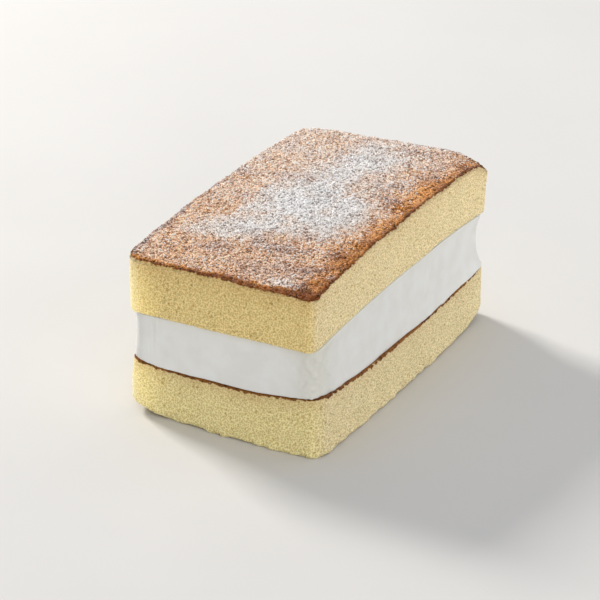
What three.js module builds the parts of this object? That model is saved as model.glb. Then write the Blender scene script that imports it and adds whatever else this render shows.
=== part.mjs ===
// A cream sandwich cake: a lower sponge, a thick layer of whipped cream and an upper sponge with a domed top.
// Millimetres, +Z up, front end towards -Y, origin under the middle of the cake.
import * as THREE from "three";
import { mergeVertices } from "three/addons/utils/BufferGeometryUtils.js";

// Driving dimensions of the block
const WIDTH = 59.6;
const LENGTH = 102;
const GAP = 0.3; // clearance between two layers

// Lower sponge
const LOWER_HEIGHT = 15.7; // at the middle of its sides
const LOWER_CURL = 2.1; // how far the corners of its baked top turn up
const CORNER_REACH = 4; // power that keeps that curl close to the corners
const LOWER_TILT = 0.9; // extra rise of the front end's top, from its middle to the right
const FRONT_SPREAD = 3.4; // the soft foot spreads this far past the front face
const RIGHT_SPREAD = 1.6;
const LEFT_SPREAD = 0.6;
const LEFT_TUCK = 0.5; // towards the front end, the left side stands in by this much
const LEFT_LEAN = 0.9; // and its upper half leans in by this much more
const BACK_SPREAD = 1;
const FRONT_SPREAD_AT = 0.6; // where each spread is widest, from -1 to 1 along its side
const RIGHT_SPREAD_AT = -0.2;
const SPREAD_REACH = 1.1;
const FOOT_LIFT = 3.4; // how far a bottom corner curls up off the table
const LIFT_REACH = 15; // distance from the corner at which that curl begins

// Whipped cream
const CREAM_FRONT = 31.2; // height of its top at the front end
const CREAM_RISE = 3.2; // how much higher its top stands in the middle
const RISE_LENGTH = 19; // distance from the front end over which most of that rise happens
const CREAM_TILT = 0.55; // from its middle, its top rises this much to the right and falls to the left
const BACK_DROOP = 1.9; // fall of its top towards the back end
const DROOP_FROM = 0.3; // where that fall begins, from -1 at the front to 1 at the back
const CREAM_RECESS = 0.3; // how far it sits back from the sponges' sides
const CREAM_END_RECESS = 0.8; // the same on the sides that the spreading knife pulled in
const CREAM_BOW = 1.5; // towards the back end, its right side bows in by this much at half height

// Upper sponge
const UPPER_HEIGHT = 17.1; // at its edges
const RIGHT_LEAN = 1; // towards the back end, the foot of its right side draws in by this much
const UPPER_CROWN = 0.85; // added in the middle of the top
const CROWN_AT_BACK = 0.5; // share of the crown that is left at the back end
const CORNER_DROOP = 0.65; // taken off at the top's corners
const LEFT_CURL = 0.4; // but its front left corner turns up by this much
const DROOP_REACH = 6; // power that keeps both close to the corners
const LEFT_FALL = 0.7; // the left edge falls by this much towards the back end
const RIGHT_SAG = 3; // the back right corner is pressed down by this much
const SAG_REACH = 12; // distance from that corner at which this begins

// Slow unevenness of the baked and spread faces
const RIPPLE = 0.22; // height of its waves
const RIPPLE_ACROSS = 27; // their length one way
const RIPPLE_ALONG = 34; // and the other
const RIPPLE_PHASE = 1; // keeps a crest off the middle of the cake

// Grid of each layer
const STEPS_ACROSS = 18;
const STEPS_ALONG = 28;
const STEPS_UP = 6;
const EDGE_START = 1 / 3; // the rounded edges take up the grid's height from here outwards
const CROWDING = 1.6; // above 1, the grid lines draw together towards the edges
const SHARPEST = 0.3; // smallest corner radius that a rounded edge leaves

const { clamp, lerp } = THREE.MathUtils;
const across = (x) => clamp(x / (WIDTH / 2), -1, 1);
const along = (y) => clamp(y / (LENGTH / 2), -1, 1);
const hump = (distance) => Math.max(0, 1 - distance * distance);
const upperShare = (w) => clamp(w / EDGE_START, 0, 1); // from 0 at half height to 1 where the top edge begins
const lowerShare = (w) => clamp((1 - w / EDGE_START) / 2, 0, 1); // from 0 at the top edge to 1 at the bottom edge
const crowd = (s) => Math.sign(s) * (1 - (1 - Math.abs(s)) ** CROWDING);

function ripple(x, y) {
  const turnAcross = (2 * Math.PI * x) / RIPPLE_ACROSS;
  const turnAlong = (2 * Math.PI * y) / RIPPLE_ALONG;
  return RIPPLE * Math.sin(turnAcross + Math.sin(turnAlong)) * Math.cos(turnAlong + RIPPLE_PHASE);
}

// The four surfaces that bound the layers, as heights over the plan

function footHeight(x, y) {
  const fromCorner = Math.hypot(WIDTH / 2 - Math.abs(x), LENGTH / 2 - Math.abs(y));
  const corner = Math.max(0, 1 - fromCorner / LIFT_REACH);
  const isNearCorner = x > 0 && y < 0;
  return isNearCorner ? 0 : FOOT_LIFT * corner * corner;
}

function lowerTop(x, y) {
  const u = across(x);
  const v = along(y);
  const curl = LOWER_CURL * (u * v) ** CORNER_REACH;
  const tilt = LOWER_TILT * Math.max(0, u) * Math.max(0, -v);
  return LOWER_HEIGHT + curl + tilt + ripple(x, y);
}

function creamTop(x, y) {
  const v = along(y);
  const tilt = CREAM_TILT * across(x);
  const rise = CREAM_RISE * (1 - Math.exp(-(y + LENGTH / 2) / RISE_LENGTH));
  const droop = Math.max(0, v - DROOP_FROM) / (1 - DROOP_FROM);
  return CREAM_FRONT + Math.max(0, rise) + tilt - BACK_DROOP * droop * droop;
}

function upperTop(x, y) {
  const u = across(x);
  const v = along(y);
  const crown = UPPER_CROWN * (1 - u * u) * (1 - v * v * (v > 0 ? 1 - CROWN_AT_BACK : 1));
  const isLeftCorner = u < 0 && v < 0;
  const droop = (isLeftCorner ? -LEFT_CURL : CORNER_DROOP) * (u * v) ** DROOP_REACH;
  const fall = LEFT_FALL * Math.max(0, -u) * ((1 + v) / 2);
  const fromRight = Math.hypot(Math.max(0, WIDTH / 2 - x), Math.max(0, LENGTH / 2 - y));
  const sag = RIGHT_SAG * Math.max(0, 1 - fromRight / SAG_REACH) ** 3;
  return creamTop(x, y) + UPPER_HEIGHT + crown - droop - fall - sag + ripple(y, x);
}

// Each layer: its colour, its top and bottom, how far its sides stand out of the block, and its roundings.
// s and t run from -1 to 1 across and along the layer, and w from -1 at its bottom to 1 at its top.
// No layer lies quite square: lie says how far it is shifted, skewed and flared, at the block's corners.

const lowerSponge = {
  name: "lower_sponge",
  colour: 0xe0cd92,
  roughness: 0.95,
  top: (x, y) => lowerTop(x, y) - GAP / 2,
  bottom: footHeight,
  topEdge: 0.4,
  bottomEdge: 1.6,
  corners: { near: 4, left: 3.2, right: 4.5, far: 5 },
  lie: { shiftX: 0.5, shiftY: 0.7, skewX: 0.4, skewY: 0.6, flareX: -0.9, flareY: 0 },
  sides: (s, t, w) => {
    const foot = (1 - w) / 2;
    const frontward = Math.max(0, -t) ** 2;
    return {
      front: FRONT_SPREAD * foot * hump((s - FRONT_SPREAD_AT) / SPREAD_REACH),
      back: BACK_SPREAD * foot * hump(s / SPREAD_REACH),
      left: LEFT_SPREAD * foot * hump(t / SPREAD_REACH) - frontward * (LEFT_TUCK + LEFT_LEAN * upperShare(w)),
      right: RIGHT_SPREAD * foot * hump((t - RIGHT_SPREAD_AT) / SPREAD_REACH),
    };
  },
};

const creamFilling = {
  name: "cream_filling",
  colour: 0xf6f4ee,
  roughness: 0.5,
  top: (x, y) => creamTop(x, y) - GAP / 2,
  bottom: (x, y) => lowerTop(x, y) + GAP / 2,
  topEdge: 0.4,
  bottomEdge: 0.4,
  corners: { near: 3.5, left: 5, right: 5, far: 5 },
  lie: { shiftX: 0.3, shiftY: 0.2, skewX: 0.6, skewY: 0.4, flareX: -0.6, flareY: 0.5 },
  sides: (s, t, w) => ({
    front: -CREAM_RECESS,
    back: -CREAM_END_RECESS,
    left: -CREAM_END_RECESS,
    right: -CREAM_RECESS - CREAM_BOW * Math.max(0, t) ** 2 * hump(w / EDGE_START),
  }),
};

const upperSponge = {
  name: "upper_sponge",
  colour: 0xc79a6b,
  roughness: 0.9,
  top: upperTop,
  bottom: (x, y) => creamTop(x, y) + GAP / 2,
  topEdge: 0.8,
  bottomEdge: 0.5,
  corners: { near: 3, left: 3.7, right: 1.8, far: 4.5 },
  lie: { shiftX: 0, shiftY: -0.3, skewX: 0.75, skewY: 0.2, flareX: -0.25, flareY: 0.95 },
  sides: (s, t, w) => {
    const backward = Math.max(0, t) ** 2;
    return { front: 0, back: 0, left: 0, right: -RIGHT_LEAN * backward * lowerShare(w) };
  },
};

// A rounded edge seen in section: how far it draws in from the side, and how far it stands off the face
function edgeProfile(radius, w) {
  const angle = (Math.max(0, Math.abs(w) - EDGE_START) / (1 - EDGE_START)) * (Math.PI / 2);
  return { inset: radius * (1 - Math.cos(angle)), standOff: radius * (1 - Math.sin(angle)) };
}

// Rounds the plan's corner: inside a square of the corner's radius, square rings become round ones
function roundCorner(x, y, halfWidth, halfLength, radius) {
  const centreX = Math.sign(x) * (halfWidth - radius);
  const centreY = Math.sign(y) * (halfLength - radius);
  const outX = (x - centreX) * Math.sign(x);
  const outY = (y - centreY) * Math.sign(y);
  if (outX <= 0 || outY <= 0) return { x, y };
  const shrink = Math.max(outX, outY) / Math.hypot(outX, outY);
  return {
    x: centreX + Math.sign(x) * outX * shrink,
    y: centreY + Math.sign(y) * outY * shrink,
  };
}

// Moves a point of the square plan to where its layer really lies
function layDown(lie, square) {
  const u = square.x / (WIDTH / 2);
  const v = square.y / (LENGTH / 2);
  return {
    x: square.x + lie.shiftX + lie.skewX * v + lie.flareX * u * v,
    y: square.y + lie.shiftY + lie.skewY * u + lie.flareY * u * v,
  };
}

function cornerRadius(layer, s, t) {
  if (t < 0) return s > 0 ? layer.corners.near : layer.corners.left;
  return s > 0 ? layer.corners.right : layer.corners.far;
}

function layerPoint(layer, s, t, w) {
  const edge = edgeProfile(w > 0 ? layer.topEdge : layer.bottomEdge, w);
  const side = layer.sides(s, t, w);
  const halfWidth = WIDTH / 2 + (s > 0 ? side.right : side.left) - edge.inset;
  const halfLength = LENGTH / 2 + (t > 0 ? side.back : side.front) - edge.inset;
  const radius = Math.max(cornerRadius(layer, s, t) - edge.inset, SHARPEST);
  const square = roundCorner(s * halfWidth, t * halfLength, halfWidth, halfLength, radius);
  const { x, y } = layDown(layer.lie, square);
  const top = layer.top(x, y);
  const bottom = layer.bottom(x, y);
  if (w >= EDGE_START) return new THREE.Vector3(x, y, top - edge.standOff);
  if (w <= -EDGE_START) return new THREE.Vector3(x, y, bottom + edge.standOff);
  const share = (w + EDGE_START) / (2 * EDGE_START);
  return new THREE.Vector3(x, y, lerp(bottom + layer.bottomEdge, top - layer.topEdge, share));
}

// A box with a grid on every face, its seams closed, bent point by point into the layer
function layerGeometry(layer) {
  const box = new THREE.BoxGeometry(2, 2, 2, STEPS_ACROSS, STEPS_ALONG, STEPS_UP);
  box.deleteAttribute("normal");
  box.deleteAttribute("uv");
  const grid = mergeVertices(box);
  const place = grid.getAttribute("position");
  for (let i = 0; i < place.count; i++) {
    const point = layerPoint(layer, crowd(place.getX(i)), crowd(place.getY(i)), place.getZ(i));
    place.setXYZ(i, point.x, point.y, point.z);
  }
  grid.computeVertexNormals();
  return grid;
}

const cake = new THREE.Group();
for (const layer of [lowerSponge, creamFilling, upperSponge]) {
  const material = new THREE.MeshStandardMaterial({
    color: layer.colour,
    roughness: layer.roughness,
    metalness: 0,
  });
  const mesh = new THREE.Mesh(layerGeometry(layer), material);
  mesh.name = layer.name;
  cake.add(mesh);
}

// The origin goes under the middle of the finished cake
const bounds = new THREE.Box3().setFromObject(cake);
const middle = bounds.getCenter(new THREE.Vector3());
cake.position.set(-middle.x, -middle.y, -bounds.min.z);

export default cake;
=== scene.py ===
# %% [markdown]
# A cream sandwich cake: a slab of yellow sponge, a thick layer of whipped cream, and a second slab of
# sponge whose browned top is dusted with icing sugar.
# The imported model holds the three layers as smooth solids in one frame. This lesson swaps each of them
# for fine meshes of the same form, cuts the bubbles of the crumb into them, and scatters the sugar as
# real grains. Every shape is worked out from named sizes, and every random draw is seeded, so each run
# gives the same cake.

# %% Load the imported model
import math
import bpy
import numpy as np
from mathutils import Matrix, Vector
from mathutils.bvhtree import BVHTree
from mathutils.kdtree import KDTree


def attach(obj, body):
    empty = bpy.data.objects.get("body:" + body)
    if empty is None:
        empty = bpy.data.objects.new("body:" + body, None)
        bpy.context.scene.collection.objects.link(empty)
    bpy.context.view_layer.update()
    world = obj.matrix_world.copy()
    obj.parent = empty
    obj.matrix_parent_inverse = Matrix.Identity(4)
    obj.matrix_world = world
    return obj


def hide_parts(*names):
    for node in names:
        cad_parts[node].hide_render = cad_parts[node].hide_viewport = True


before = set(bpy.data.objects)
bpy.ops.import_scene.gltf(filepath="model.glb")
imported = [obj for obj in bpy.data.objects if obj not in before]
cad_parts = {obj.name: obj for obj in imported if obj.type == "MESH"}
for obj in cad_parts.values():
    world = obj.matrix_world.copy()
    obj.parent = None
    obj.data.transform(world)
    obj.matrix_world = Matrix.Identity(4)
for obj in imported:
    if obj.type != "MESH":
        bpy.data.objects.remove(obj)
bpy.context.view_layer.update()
MM = 0.001


# %% [markdown]
# The camera comes first, because it decides how fine the details have to be.
# The picture was taken with a long lens from well above the table, and looks at the front end and the
# right side. The focal length is known in pixels of a square picture, so the lens follows from the
# width of the sensor.

# %% Set up the camera
PICTURE_SIDE = 600  # pixels
FOCAL_LENGTH = 4500  # pixels
SENSOR_WIDTH = 36.0  # mm
CAMERA_RISE = math.radians(25.87)
CAMERA_TURN = math.radians(28.61)  # round from the front end, towards the right
CAMERA_DISTANCE = 1264 * MM
LOOK_AT = Vector((2.13, -11.02, 25.0)) * MM


def put_in_scene(thing):
    bpy.context.scene.collection.objects.link(thing)


towards_camera = Vector((
    math.sin(CAMERA_TURN) * math.cos(CAMERA_RISE),
    -math.cos(CAMERA_TURN) * math.cos(CAMERA_RISE),
    math.sin(CAMERA_RISE),
))
camera = bpy.data.objects.new("camera", bpy.data.cameras.new("camera"))
camera.data.sensor_width = SENSOR_WIDTH
camera.data.lens = SENSOR_WIDTH * FOCAL_LENGTH / PICTURE_SIDE
camera.location = LOOK_AT + towards_camera * CAMERA_DISTANCE
camera.rotation_euler = (-towards_camera).to_track_quat("-Z", "Y").to_euler()
put_in_scene(camera)
bpy.context.scene.camera = camera
pixel = CAMERA_DISTANCE / MM / FOCAL_LENGTH
print("lens", camera.data.lens, "mm; one pixel is", round(pixel, 3), "mm of cake")

# %% [markdown]
# Sky and materials are node graphs, and a helper keeps them readable: it adds a node, sets its options,
# and fills each input with a plain value or with a link from another node. Short functions for sums,
# blends and ranges are built on it.

# %% A short way to wire nodes
def wire(tree, kind, inputs=None, **options):
    node = tree.nodes.new(kind)
    for name, value in options.items():
        setattr(node, name, value)
    for key, value in (inputs or {}).items():
        if isinstance(value, bpy.types.NodeSocket):
            tree.links.new(value, node.inputs[key])
        else:
            node.inputs[key].default_value = value
    return node


def link_all(tree, sockets, values):
    for name, value in values.items():
        tree.links.new(value, sockets[name])


def maths(tree, operation, *values):
    inputs = dict(enumerate(values))
    return wire(tree, "ShaderNodeMath", inputs, operation=operation).outputs[0]


def times(tree, first, second):
    return maths(tree, "MULTIPLY", first, second)


def less(tree, first, second):
    return maths(tree, "SUBTRACT", first, second)


def add_share(tree, base, part, share):
    return maths(tree, "MULTIPLY_ADD", part, share, base)


def clamped(tree, value):
    return wire(tree, "ShaderNodeClamp", {"Value": value}).outputs[0]


def blend_colours(tree, share, first, second):
    inputs = {0: share, 6: first, 7: second}
    return wire(tree, "ShaderNodeMix", inputs, data_type="RGBA").outputs[2]


def vector_maths(tree, operation, inputs):
    return wire(tree, "ShaderNodeVectorMath", inputs, operation=operation).outputs["Vector"]


def soft_range(tree, value, low, high, start=0.0, end=1.0):
    inputs = {"Value": value, "From Min": low, "From Max": high, "To Min": start, "To Max": end}
    return wire(tree, "ShaderNodeMapRange", inputs, interpolation_type="SMOOTHSTEP").outputs["Result"]


# %% [markdown]
# Patterns are measured in millimetres of cake, so their sizes can be read off the real thing. The meshes
# also carry values of their own, which a material reads by name.

# %% Places, noise and stored values
def millimetres(tree):
    place = wire(tree, "ShaderNodeTexCoord").outputs["Object"]
    return vector_maths(tree, "SCALE", {0: place, "Scale": 1 / MM})


def noise(tree, place, size, detail):
    inputs = {"Vector": place, "Scale": 1 / size, "Detail": detail}
    return wire(tree, "ShaderNodeTexNoise", inputs).outputs["Fac"]


def even_noise(tree, place, size, detail):
    """Noise that rises and falls about zero."""
    return less(tree, noise(tree, place, size, detail), 0.5)


def stored(tree, name):
    return wire(tree, "ShaderNodeAttribute", attribute_name=name).outputs["Fac"]


# %% [markdown]
# An effect that several materials share is a node group. Its sockets are declared first, by name, and
# its nodes are wired between them. A material then places the group like any other node.

# %% Node groups with named sockets
def new_group(name, inputs, outputs):
    """An empty node group with named sockets; inputs give their kind and first value."""
    tree = bpy.data.node_groups.new(name, "ShaderNodeTree")
    for label, (kind, value) in inputs.items():
        socket = tree.interface.new_socket(label, in_out="INPUT", socket_type="NodeSocket" + kind)
        socket.default_value = value
    for label, kind in outputs.items():
        tree.interface.new_socket(label, in_out="OUTPUT", socket_type="NodeSocket" + kind)
    source = tree.nodes.new("NodeGroupInput").outputs
    drain = tree.nodes.new("NodeGroupOutput").inputs
    return tree, source, drain


def place_group(tree, group, inputs):
    return wire(tree, "ShaderNodeGroup", inputs, node_tree=group).outputs


# %% [markdown]
# The light is a soft window low on the left. It rakes over the crust, so every bump and pinhole shows,
# and it shines into the left edge of the sponge. The front end and the right side lie in its soft shade,
# which two weaker panels and a sky, brightest overhead, fill. A plain view transform keeps the colours
# as they are.

# %% Set up the light
SKY_COLOUR = (0.93, 0.95, 1.0, 1.0)
SKY_STRENGTH = 0.372
SKY_OVERHEAD = 0.6  # added at the zenith
SKY_FALL = 4.0  # how fast that part fades towards the horizon
LIGHTS = {
    # name: place in metres, size in metres, power in watts, colour
    "window": ((-1.03, 0.37, 0.71), 0.3, 16.8, (1.0, 0.965, 0.91)),
    "fill_panel": ((0.80, -0.85, 0.40), 0.9, 5.5, (1.0, 0.97, 0.93)),
    "back_panel": ((0.28, 0.22, 0.12), 0.2, 0.2, (1.0, 0.98, 0.95)),
}


def set_up_sky():
    world = bpy.data.worlds.new("sky")
    world.use_nodes = True
    sky = world.node_tree
    background = sky.nodes["Background"].inputs
    direction = wire(sky, "ShaderNodeTexCoord").outputs["Generated"]
    height = wire(sky, "ShaderNodeSeparateXYZ", {"Vector": direction}).outputs["Z"]
    overhead = maths(sky, "POWER", maths(sky, "MAXIMUM", height, 0.0), SKY_FALL)
    background["Color"].default_value = SKY_COLOUR
    sky.links.new(add_share(sky, SKY_STRENGTH, overhead, SKY_OVERHEAD), background["Strength"])
    return world


def hang_light(name, kind, place, back, power, colour):
    """A light whose back points away from what it shines on."""
    light = bpy.data.objects.new(name, bpy.data.lights.new(name, kind))
    light.data.energy = power
    light.data.color = colour
    light.location = place
    light.rotation_euler = back.to_track_quat("Z", "Y").to_euler()
    put_in_scene(light)
    return light


bpy.context.scene.view_settings.view_transform = "Standard"
bpy.context.scene.world = set_up_sky()
for name, (place, size, power, colour) in LIGHTS.items():
    panel = hang_light(name, "AREA", place, Vector(place), power, colour)
    panel.data.size = size
    panel.visible_camera = False
    print(name, "stands", round(Vector(place).length, 2), "m away")

# %% [markdown]
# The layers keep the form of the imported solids, so the lesson repeats the sizes that drive them, in
# millimetres. No layer is quite flat or quite square, as in any cake cut and filled by hand.

# %% Name the driving sizes
WIDTH = 59.6
LENGTH = 102
GAP = 0.3  # clearance between two layers of the solids
LOWER_HEIGHT = 15.7
LOWER_CURL = 2.1  # the corners of the lower sponge's baked top turn up
CORNER_REACH = 4
LOWER_TILT = 0.9
FRONT_SPREAD = 3.4  # the soft foot spreads past each side
RIGHT_SPREAD = 1.6
LEFT_SPREAD = 0.6
LEFT_TUCK = 0.5  # the left side of the lower sponge stands in towards the front end
LEFT_LEAN = 0.9  # and its upper half leans in further
BACK_SPREAD = 1
FRONT_SPREAD_AT = 0.6
RIGHT_SPREAD_AT = -0.2
SPREAD_REACH = 1.1
FOOT_LIFT = 3.4  # bottom corners curl up off the table
LIFT_REACH = 15
CREAM_FRONT = 31.2  # height of the cream's top at the front end
CREAM_RISE = 3.2
RISE_LENGTH = 19
CREAM_TILT = 0.55
BACK_DROOP = 1.9
DROOP_FROM = 0.3
CREAM_RECESS = 0.3
CREAM_END_RECESS = 0.8
CREAM_BOW = 1.5  # towards the back end, the cream's right side bows in at half height
UPPER_HEIGHT = 17.1
RIGHT_LEAN = 1  # the foot of the upper sponge's right side draws in towards the back end
UPPER_CROWN = 0.85
CROWN_AT_BACK = 0.5  # share of the crown that is left at the back end
CORNER_DROOP = 0.65
LEFT_CURL = 0.4  # the front left corner of the top turns up
DROOP_REACH = 6
LEFT_FALL = 0.7  # the left edge falls towards the back end
RIGHT_SAG = 3  # the back right corner is pressed down
SAG_REACH = 12
RIPPLE = 0.22  # slow waves of the baked faces
RIPPLE_ACROSS = 27
RIPPLE_ALONG = 34
RIPPLE_PHASE = 1
EDGE_START = 1 / 3
SHARPEST = 0.3
print("block of", WIDTH, "by", LENGTH, "mm")

# %% [markdown]
# Four surfaces bound the layers: the underside, the lower sponge's top, the cream's top and the cake's
# top. Each is a height over the plan, so one formula serves the layer below it and the layer above it.
# Numpy works them out for a whole mesh at once, where a loop over the vertices would take minutes.

# %% The four surfaces
def across(x):
    return np.clip(x / (WIDTH / 2), -1, 1)


def along(y):
    return np.clip(y / (LENGTH / 2), -1, 1)


def ripple(x, y):
    turn_across = 2 * np.pi * x / RIPPLE_ACROSS
    turn_along = 2 * np.pi * y / RIPPLE_ALONG
    return RIPPLE * np.sin(turn_across + np.sin(turn_along)) * np.cos(turn_along + RIPPLE_PHASE)


def foot_height(x, y):
    from_corner = np.hypot(WIDTH / 2 - np.abs(x), LENGTH / 2 - np.abs(y))
    corner = np.maximum(0, 1 - from_corner / LIFT_REACH)
    is_near_corner = (x > 0) & (y < 0)
    return np.where(is_near_corner, 0, FOOT_LIFT * corner * corner)


def lower_top(x, y):
    curl = LOWER_CURL * (across(x) * along(y)) ** CORNER_REACH
    tilt = LOWER_TILT * np.maximum(0, across(x)) * np.maximum(0, -along(y))
    return LOWER_HEIGHT + curl + tilt + ripple(x, y)


def cream_top(x, y):
    rise = CREAM_RISE * (1 - np.exp(-(y + LENGTH / 2) / RISE_LENGTH))
    droop = np.maximum(0, along(y) - DROOP_FROM) / (1 - DROOP_FROM)
    return CREAM_FRONT + np.maximum(0, rise) + CREAM_TILT * across(x) - BACK_DROOP * droop * droop


def upper_top(x, y):
    u, v = across(x), along(y)
    crown = UPPER_CROWN * (1 - u * u) * (1 - v * v * np.where(v > 0, 1 - CROWN_AT_BACK, 1))
    droop = np.where((u < 0) & (v < 0), -LEFT_CURL, CORNER_DROOP) * (u * v) ** DROOP_REACH
    fall = LEFT_FALL * np.maximum(0, -u) * (1 + v) / 2
    from_right = np.hypot(np.maximum(0, WIDTH / 2 - x), np.maximum(0, LENGTH / 2 - y))
    sag = RIGHT_SAG * np.maximum(0, 1 - from_right / SAG_REACH) ** 3
    return cream_top(x, y) + UPPER_HEIGHT + crown - droop - fall - sag + ripple(y, x)


heights = [round(float(surface(0, 0)), 1) for surface in (lower_top, cream_top, upper_top)]
print("middle of the cake", heights, "mm high")

# %% [markdown]
# A layer is a unit box that is bent: s and t run from -1 to 1 across and along it, and w from -1 at its
# bottom to 1 at its top. Each layer names its two faces, how far its sides stand out, its roundings and
# how it lies. Whipped cream clings to the sponge, so here it reaches a hair into both slabs and no gap
# shows. The upper slab is made in two: its crumb, and over that its crust, as a lid with a mesh fine
# enough for pinholes.

# %% The layers and what they stand for
CLING = 0.2  # mm that the cream reaches past the faces it sticks to
CRUST_DEPTH = 1.5  # mm that the crust reaches down the sides
CRUMB_UNDER = 1.2  # mm from the top of the crust to the hidden top of the crumb
STANDS_FOR = {
    "lower_crumb": "lower_sponge",
    "whipped_cream": "cream_filling",
    "upper_crumb": "upper_sponge",
    "upper_crust": "upper_sponge",
}


def hump(distance):
    return np.maximum(0, 1 - distance * distance)


def foot_spread(s, t, w):
    foot = (1 - w) / 2
    front = FRONT_SPREAD * foot * hump((s - FRONT_SPREAD_AT) / SPREAD_REACH)
    back = BACK_SPREAD * foot * hump(s / SPREAD_REACH)
    tuck = LEFT_TUCK + LEFT_LEAN * np.clip(w / EDGE_START, 0, 1)
    left = LEFT_SPREAD * foot * hump(t / SPREAD_REACH) - tuck * np.maximum(0, -t) ** 2
    right = RIGHT_SPREAD * foot * hump((t - RIGHT_SPREAD_AT) / SPREAD_REACH)
    return front, back, left, right


def cream_sides(s, t, w):
    bow = CREAM_BOW * np.maximum(0, t) ** 2 * hump(w / EDGE_START)
    return -CREAM_RECESS, -CREAM_END_RECESS, -CREAM_END_RECESS, -CREAM_RECESS - bow


def right_lean(s, t, w):
    share = np.clip((1 - w / EDGE_START) / 2, 0, 1)
    return 0, 0, 0, -RIGHT_LEAN * np.maximum(0, t) ** 2 * share


LAYERS = {
    "lower_crumb": {
        "top": lambda x, y: lower_top(x, y) - GAP / 2,
        "bottom": foot_height,
        "top_edge": 0.4,
        "bottom_edge": 1.6,
        "corners": {"near": 4, "left": 3.2, "right": 4.5, "far": 5},
        "shift": (0.5, 0.7),
        "skew": (0.4, 0.6),
        "flare": (-0.9, 0),
        "sides": foot_spread,
    },
    "whipped_cream": {
        "top": lambda x, y: cream_top(x, y) + CLING,
        "bottom": lambda x, y: lower_top(x, y) - CLING,
        "top_edge": 0.3,
        "bottom_edge": 0.3,
        "corners": {"near": 3.5, "left": 5, "right": 5, "far": 5},
        "shift": (0.3, 0.2),
        "skew": (0.6, 0.4),
        "flare": (-0.6, 0.5),
        "sides": cream_sides,
    },
    "upper_crumb": {
        "top": lambda x, y: upper_top(x, y) - CRUMB_UNDER,
        "bottom": lambda x, y: cream_top(x, y) + GAP / 2,
        "top_edge": 0.4,
        "bottom_edge": 0.5,
        "corners": {"near": 3, "left": 3.7, "right": 1.8, "far": 4.5},
        "shift": (0, -0.3),
        "skew": (0.75, 0.2),
        "flare": (-0.25, 0.95),
        "sides": right_lean,
    },
}
LAYERS["upper_crust"] = LAYERS["upper_crumb"] | {
    "top": upper_top,
    "bottom": lambda x, y: upper_top(x, y) - CRUST_DEPTH,
    "top_edge": 0.8,
    "bottom_edge": 0.05,
    "sides": lambda s, t, w: right_lean(s, t, EDGE_START),
}
print(len(LAYERS), "layers stand for", len(set(STANDS_FOR.values())), "solids")

# %% [markdown]
# One function bends the unit box into a layer. The edges follow a quarter circle in section, the corners
# are rounded in plan by drawing square rings into round ones, and the whole plan is then shifted, skewed
# and flared.

# %% Bend the unit box into a layer
def corner_radius(corners, s, t):
    front = np.where(s > 0, corners["near"], corners["left"])
    back = np.where(s > 0, corners["right"], corners["far"])
    return np.where(t < 0, front, back)


def plan_of(layer, s, t, w, inset):
    front, back, left, right = layer["sides"](s, t, w)
    half_width = WIDTH / 2 + np.where(s > 0, right, left) - inset
    half_length = LENGTH / 2 + np.where(t > 0, back, front) - inset
    radius = np.maximum(corner_radius(layer["corners"], s, t) - inset, SHARPEST)
    out_x = np.abs(s) * half_width - (half_width - radius)
    out_y = np.abs(t) * half_length - (half_length - radius)
    in_corner = (out_x > 0) & (out_y > 0)
    reach = np.hypot(out_x, out_y)
    shrink = np.where(in_corner, np.maximum(out_x, out_y) / np.where(in_corner, reach, 1), 1)
    flat_x = np.sign(s) * (half_width - radius + out_x * shrink)
    flat_y = np.sign(t) * (half_length - radius + out_y * shrink)
    u = flat_x / (WIDTH / 2)
    v = flat_y / (LENGTH / 2)
    x = flat_x + layer["shift"][0] + layer["skew"][0] * v + layer["flare"][0] * u * v
    y = flat_y + layer["shift"][1] + layer["skew"][1] * u + layer["flare"][1] * u * v
    return x, y


def bend(layer, s, t, w):
    """Points of a layer, in mm, before the cake is set over the origin."""
    rounding = np.where(w > 0, layer["top_edge"], layer["bottom_edge"])
    angle = np.maximum(0, np.abs(w) - EDGE_START) / (1 - EDGE_START) * (np.pi / 2)
    stand_off = rounding * (1 - np.sin(angle))
    x, y = plan_of(layer, s, t, w, rounding * (1 - np.cos(angle)))
    top = layer["top"](x, y)
    bottom = layer["bottom"](x, y)
    low = bottom + layer["bottom_edge"]
    high = top - layer["top_edge"]
    side = low + (high - low) * (w + EDGE_START) / (2 * EDGE_START)
    lower_part = np.where(w <= -EDGE_START, bottom + stand_off, side)
    z = np.where(w >= EDGE_START, top - stand_off, lower_part)
    return np.stack([x, y, z], -1)


near_corner = bend(LAYERS["upper_crust"], 1.0, -1.0, 1.0)
print("near corner of the top at", near_corner.round(1), "mm")

# %% [markdown]
# Each layer gets a net of small quads: rings of vertices round the sides, and a grid on the top and the
# bottom. A face that another layer hides needs no fine grid, so there every fourth vertex of the rim is
# enough, with a row of triangles between. A subdivided cube would spend as many faces inside the cake as
# on its outside. The net also lays its six sides out flat, at one scale, as the map that the finished
# surface can be drawn on.

# %% Weave the net of a layer
CAP_STEP = 4
SIDES = ("front", "right", "back", "left")
FLAT_SIDE = 140  # mm of surface that the whole map holds each way
FLAT_PLACES = {
    # side: left and low corner on the map, width and height, in mm
    "top": (0, 0, 60, 102),
    "right": (0, 103, 102, 17),
    "left": (0, 121, 102, 17),
    "front": (61, 0, 60, 17),
    "back": (61, 18, 60, 17),
    "bottom": (61, 36, 36, 62),
}


def rim_of(grid):
    """The rim of a grid of vertex numbers, counter-clockwise from its front left corner."""
    return np.concatenate([grid[0, :-1], grid[:-1, -1], grid[-1, :0:-1], grid[:0:-1, 0]])


def quads_of(grid):
    quads = np.stack([grid[:-1, :-1], grid[:-1, 1:], grid[1:, 1:], grid[1:, :-1]], -1)
    return quads.reshape(-1, 4)


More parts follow.
